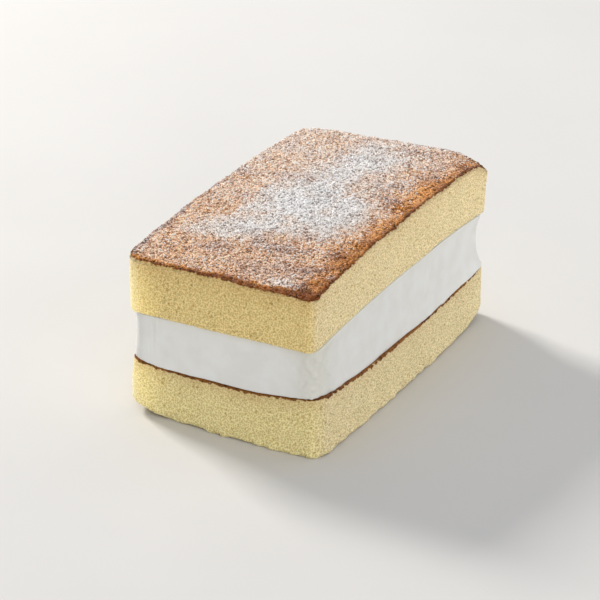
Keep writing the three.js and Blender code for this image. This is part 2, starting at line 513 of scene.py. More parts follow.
def row_heights(bottom_rows, side_rows, top_rows):
    low = np.linspace(-1, -EDGE_START, bottom_rows + 1)[:-1]
    side = np.linspace(-EDGE_START, EDGE_START, side_rows + 1)[:-1]
    high = np.linspace(EDGE_START, 1, top_rows + 1)
    return np.concatenate([low, side, high])


def unit_grid(across_steps, along_steps, reach_s, reach_t, w):
    t, s = np.meshgrid(
        np.linspace(-reach_t, reach_t, along_steps + 1),
        np.linspace(-reach_s, reach_s, across_steps + 1),
        indexing="ij",
    )
    return np.stack([s, t, np.full_like(s, w)], -1)


def stitch(fine, coarse):
    """Triangles between a fine rim and the coarse one inside it."""
    triangles = []
    for step in range(len(coarse)):
        a = coarse[step]
        b = coarse[(step + 1) % len(coarse)]
        f = [fine[(step * CAP_STEP + k) % len(fine)] for k in range(CAP_STEP + 1)]
        triangles += [(f[0], f[1], a), (f[1], f[2], a), (f[2], b, a), (f[2], f[3], b), (f[3], f[4], b)]
    return np.array(triangles)


# %% [markdown]
# A small class keeps a net's vertices, faces and flat places together while its sides are added one by
# one.

# %% The net itself
class Net:
    def __init__(self, across_steps, along_steps, rows, fine_top=False):
        self.steps = (across_steps, along_steps)
        self.places = np.empty((0, 3))
        self.faces = []
        self.flat = []
        edge = unit_grid(across_steps, along_steps, 1, 1, 0)
        ring = np.stack([rim_of(edge[..., k]) for k in range(3)], -1)
        levels = np.repeat(ring[None], len(rows), 0)
        levels[..., 2] = rows[:, None]
        self.ring = self.add_places(levels)
        wrapped = np.concatenate([self.ring, self.ring[:, :1]], 1)
        first = 0
        for side, steps in zip(SIDES, self.steps * 2):
            self.add_faces(quads_of(wrapped[:, first:first + steps + 1]), side)
            first += steps
        self.top = self.add_grid(self.ring[-1]) if fine_top else self.add_cap(self.ring[-1], "top", 1)
        self.add_cap(self.ring[0], "bottom", -1)

    def add_places(self, places):
        numbers = len(self.places) + np.arange(np.prod(places.shape[:-1]))
        self.places = np.concatenate([self.places, places.reshape(-1, 3)])
        return numbers.reshape(places.shape[:-1])

    def add_faces(self, faces, side):
        left, low, wide, tall = FLAT_PLACES[side]
        s, t, w = self.places[faces].transpose(2, 0, 1)
        runs = {"front": (s, w), "right": (t, w), "back": (-s, w), "left": (-t, w)}
        u, v = runs.get(side, (s, t))
        flat = np.stack([left + wide * (u + 1) / 2, low + tall * (v + 1) / 2], -1)
        self.faces += faces.tolist()
        self.flat.append(flat.reshape(-1, 2) / FLAT_SIDE)

    def add_grid(self, rim):
        """A fine top whose rim is the last ring of the sides."""
        places = unit_grid(*self.steps, 1, 1, 1)
        grid = np.empty(places.shape[:2], int)
        grid[1:-1, 1:-1] = self.add_places(places[1:-1, 1:-1])
        across_steps, along_steps = self.steps
        grid[0, :-1], grid[:-1, -1], grid[-1, :0:-1], grid[:0:-1, 0] = np.split(
            rim, np.cumsum([across_steps, along_steps, across_steps])
        )
        self.add_faces(quads_of(grid), "top")
        return grid

    def add_cap(self, rim, side, w):
        """A coarse face for a side that another layer or the table hides."""
        coarse_steps = [steps // CAP_STEP for steps in self.steps]
        reach = [1 - 2 / steps for steps in coarse_steps]
        grid = self.add_places(unit_grid(*coarse_steps, *reach, w))
        for faces in (quads_of(grid), stitch(rim, rim_of(grid))):
            self.add_faces(faces if w > 0 else faces[:, ::-1], side)
        return grid


NETS = {
    "lower_crumb": Net(236, 404, row_heights(6, 50, 6)),
    "whipped_cream": Net(176, 300, row_heights(3, 48, 3)),
    "upper_crumb": Net(216, 368, row_heights(3, 54, 3)),
    "upper_crust": Net(216, 368, row_heights(1, 1, 6), fine_top=True),
}
BARE = {name: bend(LAYERS[name], *net.places.T) for name, net in NETS.items()}
for name, net in NETS.items():
    print(name, len(net.places), "vertices,", sum(len(face) - 2 for face in net.faces), "triangles")

# %% [markdown]
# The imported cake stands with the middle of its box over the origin, so the same step is taken here.
# Each piece is then an ordinary mesh with smooth shading. A check afterwards measures how far a piece
# lies from the solid that it stands for, which catches a wrong size before any time goes into the finish.

# %% Set the layers over the origin
CHECK_STEP = 97  # one vertex in so many is measured
everything = np.concatenate(list(BARE.values()))
middle = (everything.min(0) + everything.max(0)) / 2
OVER_ORIGIN = -np.array([middle[0], middle[1], everything[:, 2].min()])
for points in BARE.values():
    points += OVER_ORIGIN


def make_piece(name, points, faces, flat):
    mesh = bpy.data.meshes.new(name)
    mesh.from_pydata((points * MM).tolist(), [], faces)
    mesh.shade_smooth()
    mesh.uv_layers.new(name="OFBake").uv.foreach_set("vector", flat.astype(np.float32).ravel())
    piece = bpy.data.objects.new(name, mesh)
    put_in_scene(piece)
    return piece


def distance_to_solid(name, points):
    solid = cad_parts[STANDS_FOR[name]].data
    tree = BVHTree.FromPolygons([v.co for v in solid.vertices], [p.vertices[:] for p in solid.polygons])
    return np.array([tree.find_nearest(Vector(p * MM))[3] / MM for p in points[::CHECK_STEP]])


PIECES = {}
for name, net in NETS.items():
    PIECES[name] = make_piece(name, BARE[name], net.faces, np.concatenate(net.flat))
    away = distance_to_solid(name, BARE[name])
    print(name, "lies", round(away.mean(), 3), "mm off its solid,", round(away.max(), 2), "at most")

# %% [markdown]
# Baking and cutting leave random marks at many sizes. Smooth noise makes most of them: random values on
# a grid of cells, with soft steps between.

# %% Smooth noise
NOISE_CELLS = 64


def soft_step(low, high, values):
    part = np.clip((values - low) / (high - low), 0, 1)
    return part * part * (3 - 2 * part)


def soft_noise(points, size, seed):
    """Smooth values from -1 to 1 that rise and fall about every size millimetres."""
    table = np.random.default_rng(seed).uniform(-1, 1, (NOISE_CELLS,) * 3)
    cell = points / np.asarray(size)
    base = np.floor(cell).astype(int)
    part = cell - base
    ease = part * part * (3 - 2 * part)
    total = np.zeros(len(points))
    for corner in np.ndindex(2, 2, 2):
        weight = np.where(np.array(corner, bool), ease, 1 - ease).prod(1)
        i, j, k = ((base + corner) % NOISE_CELLS).T
        total += weight * table[i, j, k]
    return total


# %% [markdown]
# Sponge is foam, and a knife opens the bubbles that it meets. Each bubble is a ball near the surface, and
# a vertex inside it sinks to the ball's far wall, which gives round pits with crisp rims. Cutting real
# balls out with booleans would take minutes for thousands of them.

# %% Bubbles
DEEPEST_PIT = 0.5  # mm
IN_OR_OUT = 0.35  # share of its radius that a bubble's middle may lie in or out of the surface
JITTER = 0.08  # mm that it strays from its vertex


def spread_out(tree, points, where, apart, draw):
    """Vertices drawn at random, none of them nearer to another than apart."""
    free = np.zeros(len(points), bool)
    free[where] = True
    picked = []
    for number in draw.permutation(where):
        if free[number]:
            picked.append(number)
            free[[other for _, other, _ in tree.find_range(points[number], apart)]] = False
    return np.array(picked)


def cut_bubbles(points, normals, where, apart, radii, seed):
    """How far each vertex sinks into the bubbles that are open to it, in mm."""
    draw = np.random.default_rng(seed)
    tree = KDTree(len(points))
    for number, point in enumerate(points):
        tree.insert(point, number)
    tree.balance()
    at = spread_out(tree, points, where, apart, draw)
    smallest, largest = radii
    own_radii = smallest + (largest - smallest) * draw.random(len(at)) ** 2
    out = own_radii * draw.uniform(-IN_OR_OUT, IN_OR_OUT, len(at))
    centres = points[at] + normals[at] * out[:, None] + draw.normal(0, JITTER, (len(at), 3))
    depth = np.zeros(len(points))
    for centre, radius in zip(centres, own_radii):
        inside = [number for _, number, _ in tree.find_range(centre, radius)]
        to_centre = centre - points[inside]
        inward = -(to_centre * normals[inside]).sum(1)
        aside = (to_centre ** 2).sum(1) - inward ** 2
        wall = inward + np.sqrt(np.maximum(0, radius ** 2 - aside))
        depth[inside] = np.maximum(depth[inside], wall)
    return np.minimum(depth, DEEPEST_PIT)


# %% [markdown]
# Every layer is shaped in the same way. Its vertices move along their normals, and values that belong to
# a vertex, such as how deep it lies in a pit, stay on the mesh for the materials to read.

# %% Shape a layer
def start_shaping(name):
    """The net of a layer, its bare points and normals, and 1 for the vertices round its sides."""
    net = NETS[name]
    normals = np.empty(len(net.places) * 3, np.float32)
    PIECES[name].data.vertex_normals.foreach_get("vector", normals)
    sides = np.zeros(len(net.places))
    sides[net.ring] = 1
    return net, BARE[name], normals.reshape(-1, 3).astype(float), sides


def push_out(name, normals, out):
    """Moves a piece's vertices along their normals, by so many mm and not below the table."""
    points = BARE[name] + normals * out[:, None]
    points[:, 2] = np.maximum(points[:, 2], 0)
    PIECES[name].data.vertices.foreach_set("co", (points * MM).astype(np.float32).ravel())
    PIECES[name].data.update()
    return points


def remember(name, **values):
    """Keeps values for every vertex of a piece."""
    for label, numbers in values.items():
        attribute = PIECES[name].data.attributes.new(label, "FLOAT", "POINT")
        attribute.data.foreach_set("value", np.asarray(numbers, np.float32))


def below_surface(surface, points):
    """How far each vertex lies under one of the surfaces, in mm."""
    return surface(*(points - OVER_ORIGIN)[:, :2].T) - points[:, 2]


# %% [markdown]
# The sides need more. The crumb's pattern follows the way round them, and the two cut ends are told
# from the long sides. Near their left edge the cut ends get a painted glow: a paler colour that stands
# for window light passing through the sponge. Both slabs were cut with one knife, so they share its
# marks: slow waves and a fine roughness.

# %% The cut sides
PAINTED_GLOW_REACH = 1.9  # mm from the left side over which the cut ends get their painted glow
END_STEP = (0.2, 0.8)  # turns of the normal between which a long side becomes a cut end
KNIFE_WAVES = (0.22, 7.0)  # mm high and long
KNIFE_GRAIN = (0.07, 0.6)
OPEN_PIT = 0.05  # mm


def way_round(net, points):
    """How far along the sides each vertex lies, in mm, counted from the far corner."""
    middle_row = points[net.ring[len(net.ring) // 2]]
    steps = np.linalg.norm(np.diff(middle_row, axis=0, append=middle_row[:1]), axis=1)
    far_corner = 2 * net.steps[0] + net.steps[1]
    way = np.zeros(len(points))
    way[net.ring] = np.roll(np.cumsum(np.roll(steps, -far_corner)), far_corner)
    return way


def end_share(normals):
    """1 on the two cut ends and 0 on the long sides, with soft steps round the corners."""
    across_part, along_part = np.abs(normals[:, 0]), np.abs(normals[:, 1])
    return soft_step(*END_STEP, along_part / (across_part + along_part + 1e-6))


def remember_sides(name, normals, below):
    """Keeps what the crumb's material needs to know of the sides."""
    end = end_share(normals)
    # painted glow: a paler colour near the left side of the cut ends, for light passing through the sponge
    pale = end * np.exp(-(BARE[name][:, 0] + WIDTH / 2) / PAINTED_GLOW_REACH)
    remember(name, way=way_round(NETS[name], BARE[name]), below=below, end=end, pale=pale)


def knife_marks(points, seed):
    waves = KNIFE_WAVES[0] * soft_noise(points, KNIFE_WAVES[1], seed)
    return waves + KNIFE_GRAIN[0] * soft_noise(points, KNIFE_GRAIN[1], seed + 1)


def print_pits(name, place, pits):
    print(name, "has", round(float((pits > OPEN_PIT).mean()) * 100), "% of its", place, "in pits")


# %% [markdown]
# The lower sponge first. Its sides carry the open crumb. Its baked top is a thin brown skin, seen edge on
# as a ragged dark line under the cream, and it stands a little proud of the crumb. Its foot is soft and
# torn, and gives an uneven lower edge.

# %% Lower sponge
CRUMB_RADII = (0.22, 0.5)  # mm, of the smallest and the largest bubble in the crumb
LOWER_APART = 1.15  # mm between bubbles
LIP = 0.2  # mm that the skin stands proud
LIP_HEIGHT = 0.5
TEAR = 0.45  # mm that the torn foot goes in and out
TEAR_HEIGHT = 3.0


def shape_lower_sponge():
    name = "lower_crumb"
    net, points, normals, sides = start_shaping(name)
    below = below_surface(LAYERS[name]["top"], points)
    pits = cut_bubbles(points, normals, net.ring.ravel(), LOWER_APART, CRUMB_RADII, seed=11)
    pits *= sides * np.clip((below - 0.5) / 0.6, 0, 1)
    lip = LIP * np.exp(-(below / LIP_HEIGHT) ** 2) * (0.4 + soft_noise(points, 2.4, 12))
    torn = TEAR * np.clip(1 - points[:, 2] / TEAR_HEIGHT, 0, 1) * soft_noise(points, 2.2, 13)
    push_out(name, normals, sides * (lip + torn + knife_marks(points, 14)) - pits)
    remember(name, pit=pits / DEEPEST_PIT)
    remember_sides(name, normals, below)
    print_pits(name, "sides", pits[net.ring])


shape_lower_sponge()

# %% [markdown]
# The cream was spread thick and its sides were drawn smooth with a knife. It swells a little between the
# slabs, the knife left faint upright streaks and some dents at the near corner, and it laps over the
# brown skin in places. A darker, yellower colour is painted on it: shade in the dents at the near
# corner, shade and yellow bounce light from the sponge just under the upper slab, and bounce light from
# the sponge's glow by the left edge of the cut ends.

# %% Whipped cream
STREAKS_AT = np.array([[29.0, -49.0], [30.0, -34.0], [-25.0, -51.0], [30.0, 12.0], [-30.0, 20.0]])
STREAK_REACH = 5.0
STREAK_DEPTHS = (0.012, 0.07)  # mm everywhere, and added at those places
NEAR_CORNER = np.array([29.0, -50.0])
DENT_REACH = 7.0
DENT_DEPTHS = (0.008, 0.3)  # mm everywhere, and added at the near corner
FOOT_SWELL = 0.5  # mm that the cream bulges just above the brown skin
LAP = 0.7  # mm that it laps over that skin
BOUNCE_BY_LEFT = 0.15  # share of painted yellow bounce light from the sponge's glow on the cut ends' left edge
SHADE_AND_BOUNCE_BY_SPONGE = 0.4  # share of painted shade and yellow bounce light just under the upper slab


def shape_cream():
    name = "whipped_cream"
    net, points, normals, sides = start_shaping(name)
    w = net.places[:, 2]
    swell = 0.25 * soft_noise(points, (14, 14, 9), 21) + 0.12 * soft_noise(points, (5, 5, 4), 22)
    apart = np.linalg.norm(points[:, None, :2] - STREAKS_AT[None], axis=2).min(1)
    streaked = np.exp(-(apart / STREAK_REACH) ** 2)
    streaks = soft_noise(points, (0.9, 0.9, 14), 23) + 0.6 * soft_noise(points, (0.5, 0.5, 8), 24)
    dented = np.exp(-(np.linalg.norm(points[:, :2] - NEAR_CORNER, axis=1) / DENT_REACH) ** 2)
    dents = soft_noise(points, (1.4, 1.4, 2.2), 26) + 0.6 * soft_noise(points, (0.7, 0.7, 0.9), 27)
    lapping = np.clip(soft_noise(points, (2.6, 2.6, 30), 25) - 0.25, 0, 1)
    lapping = lapping * np.exp(-((w + 0.42) / 0.12) ** 2)
    foot = FOOT_SWELL * np.exp(-((w + 0.4) / 0.2) ** 2)
    marks = (STREAK_DEPTHS[0] + STREAK_DEPTHS[1] * streaked) * streaks
    marks = marks + (DENT_DEPTHS[0] + DENT_DEPTHS[1] * dented) * dents
    out = sides * (swell + foot + marks + LAP * lapping)
    push_out(name, normals, out)
    # painted shade and bounce light: a darker, yellower colour in the dents, under the upper slab and by
    # the left edge
    by_left = end_share(normals) * np.exp(-(points[:, 0] + WIDTH / 2) / 9)
    by_sponge = np.exp(-np.maximum(0, below_surface(cream_top, points)) / 1.5)
    warm = np.clip(dented + BOUNCE_BY_LEFT * by_left + SHADE_AND_BOUNCE_BY_SPONGE * by_sponge, 0, 1)
    remember(name, streaked=streaked, warm=warm)
    print(name, "swells by", round(float(out.min()), 2), "to", round(float(out.max()), 2), "mm")


shape_cream()

# %% [markdown]
# Icing sugar falls through a sieve, so it lies in drifts: thick over the middle, thin over the rest, and
# nearly none on the rolled edges. A few soft ellipses, named by place and size in mm, describe the
# drifts, and noise breaks up their rims. The same thickness steers a fine veil in the crust's material
# and the grains on top.

# %% Where the sugar lies
VEIL = (0.225, 0.40)  # share that is white outside the drifts, at the front end and at the back
VEIL_FROM = (-35, 40)  # mm along the cake over which the veil grows
SWEPT_EDGE = -15.5  # mm across the cake where the main drift breaks off on its left
DRIFTS = {
    # drift: middle, half sizes, turn in degrees, share of white
    "middle": ((-1, -5.5), (22, 24), 0, 0.95),
    "right arm": ((15, -10), (15, 20), 0, 0.5),
    "far arm": ((1, 26), (12, 23), -6, 0.69),
    "left arm": ((-9, -25), (20, 10), 24, 0.63),
    "front": ((17, -48), (6, 4), -20, 0.6),
    "near corner": ((28, -40), (2.2, 3), 0, 0.4),
}
DRIFT_FADES = (0.1, 1.1)  # shares of a drift's half size between which it thins out
RIGHT_FADE = (0, 16, 0.18)  # mm from the right side between which the sugar thins out, and what is left
FRONT_FADE = (0.2, 2.9, 0.02)  # the same from the front end
EDGE_FADE = (0.45, 0.8)  # heights on the rounded edge between which it sets in


def faded(distance, low, high, least):
    return least + (1 - least) * soft_step(low, high, distance)


def sugar_at(points):
    x, y = points[:, 0], points[:, 1]
    flat = points * (1, 1, 0)
    ragged = 0.16 * soft_noise(flat, 7, 41) + 0.12 * soft_noise(flat, 2.5, 42)
    veil = VEIL[0] + (VEIL[1] - VEIL[0]) * soft_step(*VEIL_FROM, y)
    bare = 1 - veil * (1 + 0.2 * soft_noise(flat, 6, 43))
    for drift, ((mid_x, mid_y), (half_x, half_y), turn, most) in DRIFTS.items():
        c, s = math.cos(math.radians(turn)), math.sin(math.radians(turn))
        dx, dy = x - mid_x, y - mid_y
        reach = np.hypot((c * dx + s * dy) / half_x, (c * dy - s * dx) / half_y) + ragged
        share = most * (1 - soft_step(*DRIFT_FADES, reach))
        if drift == "middle":
            share = share * soft_step(-2, 2, x - SWEPT_EDGE + 2 * ragged)
        bare = bare * (1 - share)
    from_right = WIDTH / 2 - x + 3 * soft_noise(flat, 5, 44)
    from_front = y + LENGTH / 2 + 0.6 * soft_noise(flat, 1.5, 45)
    return np.clip((1 - bare) * faded(from_right, *RIGHT_FADE) * faded(from_front, *FRONT_FADE), 0, 1)


sugar = sugar_at(BARE["upper_crust"]) * soft_step(*EDGE_FADE, NETS["upper_crust"].places[:, 2])
remember("upper_crust", sugar=sugar)
print("sugar covers", round(float(sugar[NETS["upper_crust"].top].mean()) * 100), "% of the crust")

# %% [markdown]
# The upper sponge has the same crumb on its sides. Its skin is a thin brown line there, thickest at the
# near corner.

# %% Upper sponge: the crumb
UPPER_APART = 1.25  # mm between bubbles
SKIN = (0.36, 0.7)  # mm of skin seen on the sides, far from the near corner and at it
SKIN_REACH = 48  # mm from the near corner over which it thins
UPPER_KNIFE_SEED = 36


def skin_thickness(points):
    from_near = np.hypot(points[:, 0] - WIDTH / 2, points[:, 1] + LENGTH / 2)
    return SKIN[0] + (SKIN[1] - SKIN[0]) * np.exp(-(from_near / SKIN_REACH) ** 2)


def shape_upper_crumb():
    name = "upper_crumb"
    net, points, normals, sides = start_shaping(name)
    below = below_surface(upper_top, points)
    pits = cut_bubbles(points, normals, net.ring.ravel(), UPPER_APART, CRUMB_RADII, seed=31)
    pits *= sides * np.clip((below - CRUST_DEPTH) / 0.5, 0, 1)
    push_out(name, normals, sides * knife_marks(points, UPPER_KNIFE_SEED) - pits)
    remember(name, pit=pits / DEEPEST_PIT, thickness=skin_thickness(points))
    remember_sides(name, normals, below)
    print_pits(name, "sides", pits[net.ring])


shape_upper_crumb()

# %% [markdown]
# The crust is a skin of small bumps, about one to the millimetre, with pinholes where bubbles burst in
# the oven. It browned most at the rim, along the right side and at the near corner. Towards the left
# side, where the window shines, its brown is painted lighter, as light. The mesh stores both in one value.

# %% Upper sponge: the crust
PINHOLES_APART = 1.0  # mm
PINHOLE_RADII = (0.3, 0.55)
PROUD = 0.06  # mm that the crust stands out from the crumb below it
BUMPS = 0.38  # mm
SWELLS = (0.16, 6)  # mm high and long
SUNK = 0.15  # mm, so that the bumps stand out no further than the solid
DARK_RIM = 1.0  # mm over which the crust darkens towards its edge
DARK_SIDE = 4.0  # mm from the right side
DARK_CORNER = 13.0  # mm from the near corner


def baked_at(points):
    x, y = points[:, 0], points[:, 1]
    from_sides = np.minimum(WIDTH / 2 - np.abs(x), LENGTH / 2 - np.abs(y))
    rim = np.exp(-(np.maximum(0, from_sides) / DARK_RIM) ** 2)
    right = np.exp(-(np.maximum(0, WIDTH / 2 - x) / DARK_SIDE) ** 2)
    corner = np.exp(-(np.hypot(x - WIDTH / 2, y + LENGTH / 2) / DARK_CORNER) ** 2)
    # painted light: the crust is made lighter towards the left side, where the window shines
    left = soft_step(5, -25, x)
    return np.clip(0.85 * rim + 0.25 * right + 0.55 * corner - 0.2 * left - 0.1, -1, 1)


def shape_upper_crust():
    name = "upper_crust"
    net, points, normals, _ = start_shaping(name)
    below = below_surface(upper_top, points)
    shown = net.places[:, 2] > -EDGE_START
    where = np.flatnonzero(shown)
    craters = shown * cut_bubbles(points, normals, where, PINHOLES_APART, PINHOLE_RADII, seed=32)
    bumps = 0.75 * soft_noise(points, 0.6, 33) + 0.25 * soft_noise(points, 1.3, 34)
    rolled = np.clip((CRUST_DEPTH - below) / 0.25, 0, 1)
    risen = BUMPS * bumps + SWELLS[0] * soft_noise(points, SWELLS[1], 35)
    risen = risen - SUNK * soft_step(0.6, 0, below)
    swell = rolled * risen + (1 - rolled) * knife_marks(points, UPPER_KNIFE_SEED)
    out = shown * (swell + PROUD) - craters
    remember(
        name, crater=craters / DEEPEST_PIT, bump=bumps * rolled, crust=np.clip((1.0 - below) / 0.4, 0, 1),
        baked=baked_at(points), thickness=skin_thickness(points),
    )
    remember_sides(name, normals, below)
    print_pits(name, "top", craters[net.top])
    print(name, "dips to", round(float(out[net.top].min()), 2), "mm; the crumb starts at", -CRUMB_UNDER)
    return push_out(name, normals, out)


crust_points = shape_upper_crust()

# %% [markdown]
# The grains are little lumps of powder, each an octahedron pulled out of shape. A particle system would
# be quicker to set up, but only real faces reach the finished model, so numpy places all of them in one
# mesh. A grain stands on the bent crust: its place on the top's grid is drawn at random and kept where
# sugar is thick.

# %% Icing sugar grains
GRAINS = 24000
TRIES = 12  # places drawn for each grain
GRAIN_SIZES = (0.06, 0.3)  # half sizes in mm
FLATNESS = 0.7  # height of a grain as a share of its width
OCTAHEDRON = np.array([(1, 0, 0), (-1, 0, 0), (0, 1, 0), (0, -1, 0), (0, 0, 1), (0, 0, -1)], float)
OCTAHEDRON_FACES = np.array([
    (0, 2, 4), (2, 1, 4), (1, 3, 4), (3, 0, 4), (2, 0, 5), (1, 2, 5), (3, 1, 5), (0, 3, 5),
])


def top_places(grid, values, row, column):
    """Values of the top's grid between its vertices."""
    i, j = row.astype(int), column.astype(int)
    a, b = (row - i)[:, None], (column - j)[:, None]
    near = values[grid[i, j]] * (1 - b) + values[grid[i, j + 1]] * b
    far = values[grid[i + 1, j]] * (1 - b) + values[grid[i + 1, j + 1]] * b
    return near * (1 - a) + far * a


def scatter_grains():
    draw = np.random.default_rng(51)
    grid = NETS["upper_crust"].top
    row = draw.uniform(0, grid.shape[0] - 1.001, GRAINS * TRIES)
    column = draw.uniform(0, grid.shape[1] - 1.001, GRAINS * TRIES)
    thickness = top_places(grid, sugar[:, None], row, column)[:, 0]
    places = top_places(grid, crust_points, row, column)
    clumping = np.clip(0.55 + 0.9 * soft_noise(places, 0.9, 52), 0, 1)
    wanted = (0.35 + 0.65 * thickness) * soft_step(0.02, 0.2, thickness) * clumping
    kept = np.flatnonzero(draw.random(GRAINS * TRIES) < 0.5 * wanted)[:GRAINS]
    size = GRAIN_SIZES[0] + (GRAIN_SIZES[1] - GRAIN_SIZES[0]) * draw.random(len(kept)) ** 3
    lumps = OCTAHEDRON * draw.uniform(0.6, 1.3, (len(kept), 6, 1))
    lumps = lumps + draw.normal(0, 0.2, (len(kept), 6, 3))
    corners = places[kept][:, None] + lumps * size[:, None, None] * (1, 1, FLATNESS)
    corners[..., 2] += 0.3 * size[:, None]
    points = corners.reshape(-1, 3)
    faces = (OCTAHEDRON_FACES + 6 * np.arange(len(kept))[:, None, None]).reshape(-1, 3)
    flat = points[faces.ravel(), :2] / FLAT_SIDE + 0.5
    return make_piece("icing_sugar", points, faces.tolist(), flat)


PIECES["icing_sugar"] = scatter_grains()
print("icing_sugar has", len(PIECES["icing_sugar"].data.polygons), "triangles")

# %% [markdown]
# Both slabs share the crumb, so it is a node group. The bubbles that the mesh holds are the large ones;
# the walls between them are foam too, too fine for faces. Voronoi cells stand for those small bubbles: a
# cell's middle is an open pore, painted in a deeper colour as the shade inside it, and its border a pale
# wall. The mesh's own pits are painted deeper too, as shade added to their real shading. Slow noise
# makes the slab uneven in tone.

# %% Node group: sponge crumb
def make_crumb_group():
    tree, source, drain = new_group(
        "Sponge crumb",
        {
            "Wall Colour": ("Color", (0.9, 0.7, 0.35, 1)),
            # the pore colour is painted shade inside the small pores
            "Pore Shade Colour": ("Color", (0.5, 0.35, 0.1, 1)),
            "Pore Spacing": ("Float", 0.8),
            "Flat Place": ("Vector", (0, 0, 0)),
            "Pit": ("Float", 0.0),
        },
        {"Colour": "Color", "Height": "Float"},
    )
    place = millimetres(tree)
    inputs = {
        "Vector": source["Flat Place"],
        "Scale": maths(tree, "DIVIDE", 1.0, source["Pore Spacing"]),
        "Randomness": 0.85,
    }
    cells = wire(tree, "ShaderNodeTexVoronoi", inputs, voronoi_dimensions="2D").outputs
    own_tone = wire(tree, "ShaderNodeSeparateColor", {"Color": cells["Color"]}).outputs["Red"]
    wall = soft_range(tree, cells["Distance"], 0.05, 0.65)
    fine = even_noise(tree, place, 0.32, 1.0)
    slow = even_noise(tree, place, 9.0, 2.0)
    tone = 0.76
    # the pores and the mesh's pits turn the tone towards the pore colour: painted shade inside them
    for part, share in ((wall, -0.75), (own_tone, 0.2), (source["Pit"], 0.3), (slow, 0.2), (fine, 0.8)):
        tone = add_share(tree, tone, part, share)
    colour = blend_colours(tree, clamped(tree, tone), source["Wall Colour"], source["Pore Shade Colour"])
    link_all(tree, drain, {"Colour": colour, "Height": add_share(tree, wall, fine, 0.6)})
    return tree


CRUMB = make_crumb_group()
print("group", CRUMB.name, "with", len(CRUMB.nodes), "nodes")

# %% [markdown]
# Both slabs also have a baked skin, which is the second group. The meshes store how far each vertex lies
# below the baked top, so the group only has to compare that with the skin's thickness, made ragged by
# noise. Under the skin the crumb is toasted for a few millimetres, and the brown itself is blotchy.

# %% Node group: browned skin
def make_skin_group():
    tree, source, drain = new_group(
        "Browned skin",
        {
            "Below": ("Float", 0.0),
            "Thickness": ("Float", 0.8),
            "Raggedness": ("Float", 0.6),
            "Baked And Lit": ("Float", 0.0),
            "Blotches": ("Float", 1.0),
            "Dark Brown": ("Color", (0.15, 0.05, 0.01, 1)),
            "Light Brown": ("Color", (0.4, 0.17, 0.06, 1)),
        },
        {"Skin": "Float", "Toast": "Float", "Colour": "Color"},
    )
    place = millimetres(tree)
    depth = add_share(tree, source["Below"], even_noise(tree, place, 1.4, 4.0), source["Raggedness"])
    share = maths(tree, "DIVIDE", depth, source["Thickness"])
    skin = less(tree, 1.0, soft_range(tree, share, 0.8, 1.25))
    toast = maths(tree, "POWER", 0.72, maths(tree, "MAXIMUM", depth, 0.0))
    fine = even_noise(tree, place, 0.7, 2.0)
    blotches = add_share(tree, noise(tree, place, 7.0, 2.0), fine, source["Blotches"])
    # Baked And Lit darkens the brown where the crust baked more, and a value below zero lightens it:
    # painted light
    brown = clamped(tree, less(tree, soft_range(tree, blotches, 0.15, 0.7), source["Baked And Lit"]))
    colour = blend_colours(tree, brown, source["Dark Brown"], source["Light Brown"])
    link_all(tree, drain, {"Skin": skin, "Toast": toast, "Colour": colour})
    return tree


BROWNED = make_skin_group()
print("group", BROWNED.name, "with", len(BROWNED.nodes), "nodes")

# %% [markdown]
# Cream, sugar and the table are nearly one colour each, but never quite. The third group mottles a colour
# softly.

# %% Node group: soft mottle
def make_mottle_group():
    tree, source, drain = new_group(
        "Soft mottle",
        {
            "Light": ("Color", (0.95, 0.95, 0.93, 1)),
            "Shade": ("Color", (0.9, 0.9, 0.88, 1)),
            "Size": ("Float", 5.0),
        },
        {"Colour": "Color", "Value": "Float"},
    )
    scale = maths(tree, "DIVIDE", 1.0, source["Size"])
    inputs = {"Vector": millimetres(tree), "Scale": scale, "Detail": 3.0}
    value = soft_range(tree, wire(tree, "ShaderNodeTexNoise", inputs).outputs["Fac"], 0.32, 0.68)
    colour = blend_colours(tree, value, source["Shade"], source["Light"])
    link_all(tree, drain, {"Colour": colour, "Value": value})
    return tree


MOTTLE = make_mottle_group()
print("group", MOTTLE.name, "with", len(MOTTLE.nodes), "nodes")

# %% [markdown]
# Sponge and cream let a little light through, which softens their hollows, so their shaders scatter some
# of it under the surface. Every material starts from the same plain shader.

# %% Start and hand out materials
SCATTER = 0.3
SCATTER_SCALE = 1.5 * MM


def start_material(name):
    material = bpy.data.materials.new(name)
    material.use_nodes = True
    return material, material.node_tree, material.node_tree.nodes["Principled BSDF"].inputs


def set_scatter(shader, weight, radius):
    shader["Subsurface Weight"].default_value = weight
    shader["Subsurface Radius"].default_value = radius
    shader["Subsurface Scale"].default_value = SCATTER_SCALE


def give(material, *names):
    for name in names:
        PIECES[name].data.materials.append(material)
    print("material", material.name, "with", len(material.node_tree.nodes), "nodes")


# %% [markdown]
# The same functions make both slabs: crumb, then the toasted zone, then the skin over it. The cut ends
# show a deeper yellow than the long sides, and near their left edge a painted glow, a paler colour that
# stands for light passing through the sponge. Sponge cake is matt, and its grain comes from the height
# of the crumb's walls, as bump.

# %% Lay the crumb and the skin
SCATTER_REACH = (1.0, 0.8, 0.5)  # red light travels furthest
GRAIN_DEPTH = 0.18 * MM
TOAST_ON_SIDES = 0.25  # share of the toasted colour just under the skin


def sponge_tone(tree, colours, part):
    """The colour of the crumb's walls or pores, from those of its sides, its ends and the painted glow near
    its left edge.
    """
    own = blend_colours(tree, stored(tree, "end"), colours["side " + part], colours["end " + part])
    return blend_colours(tree, stored(tree, "pale"), own, colours["pale " + part])


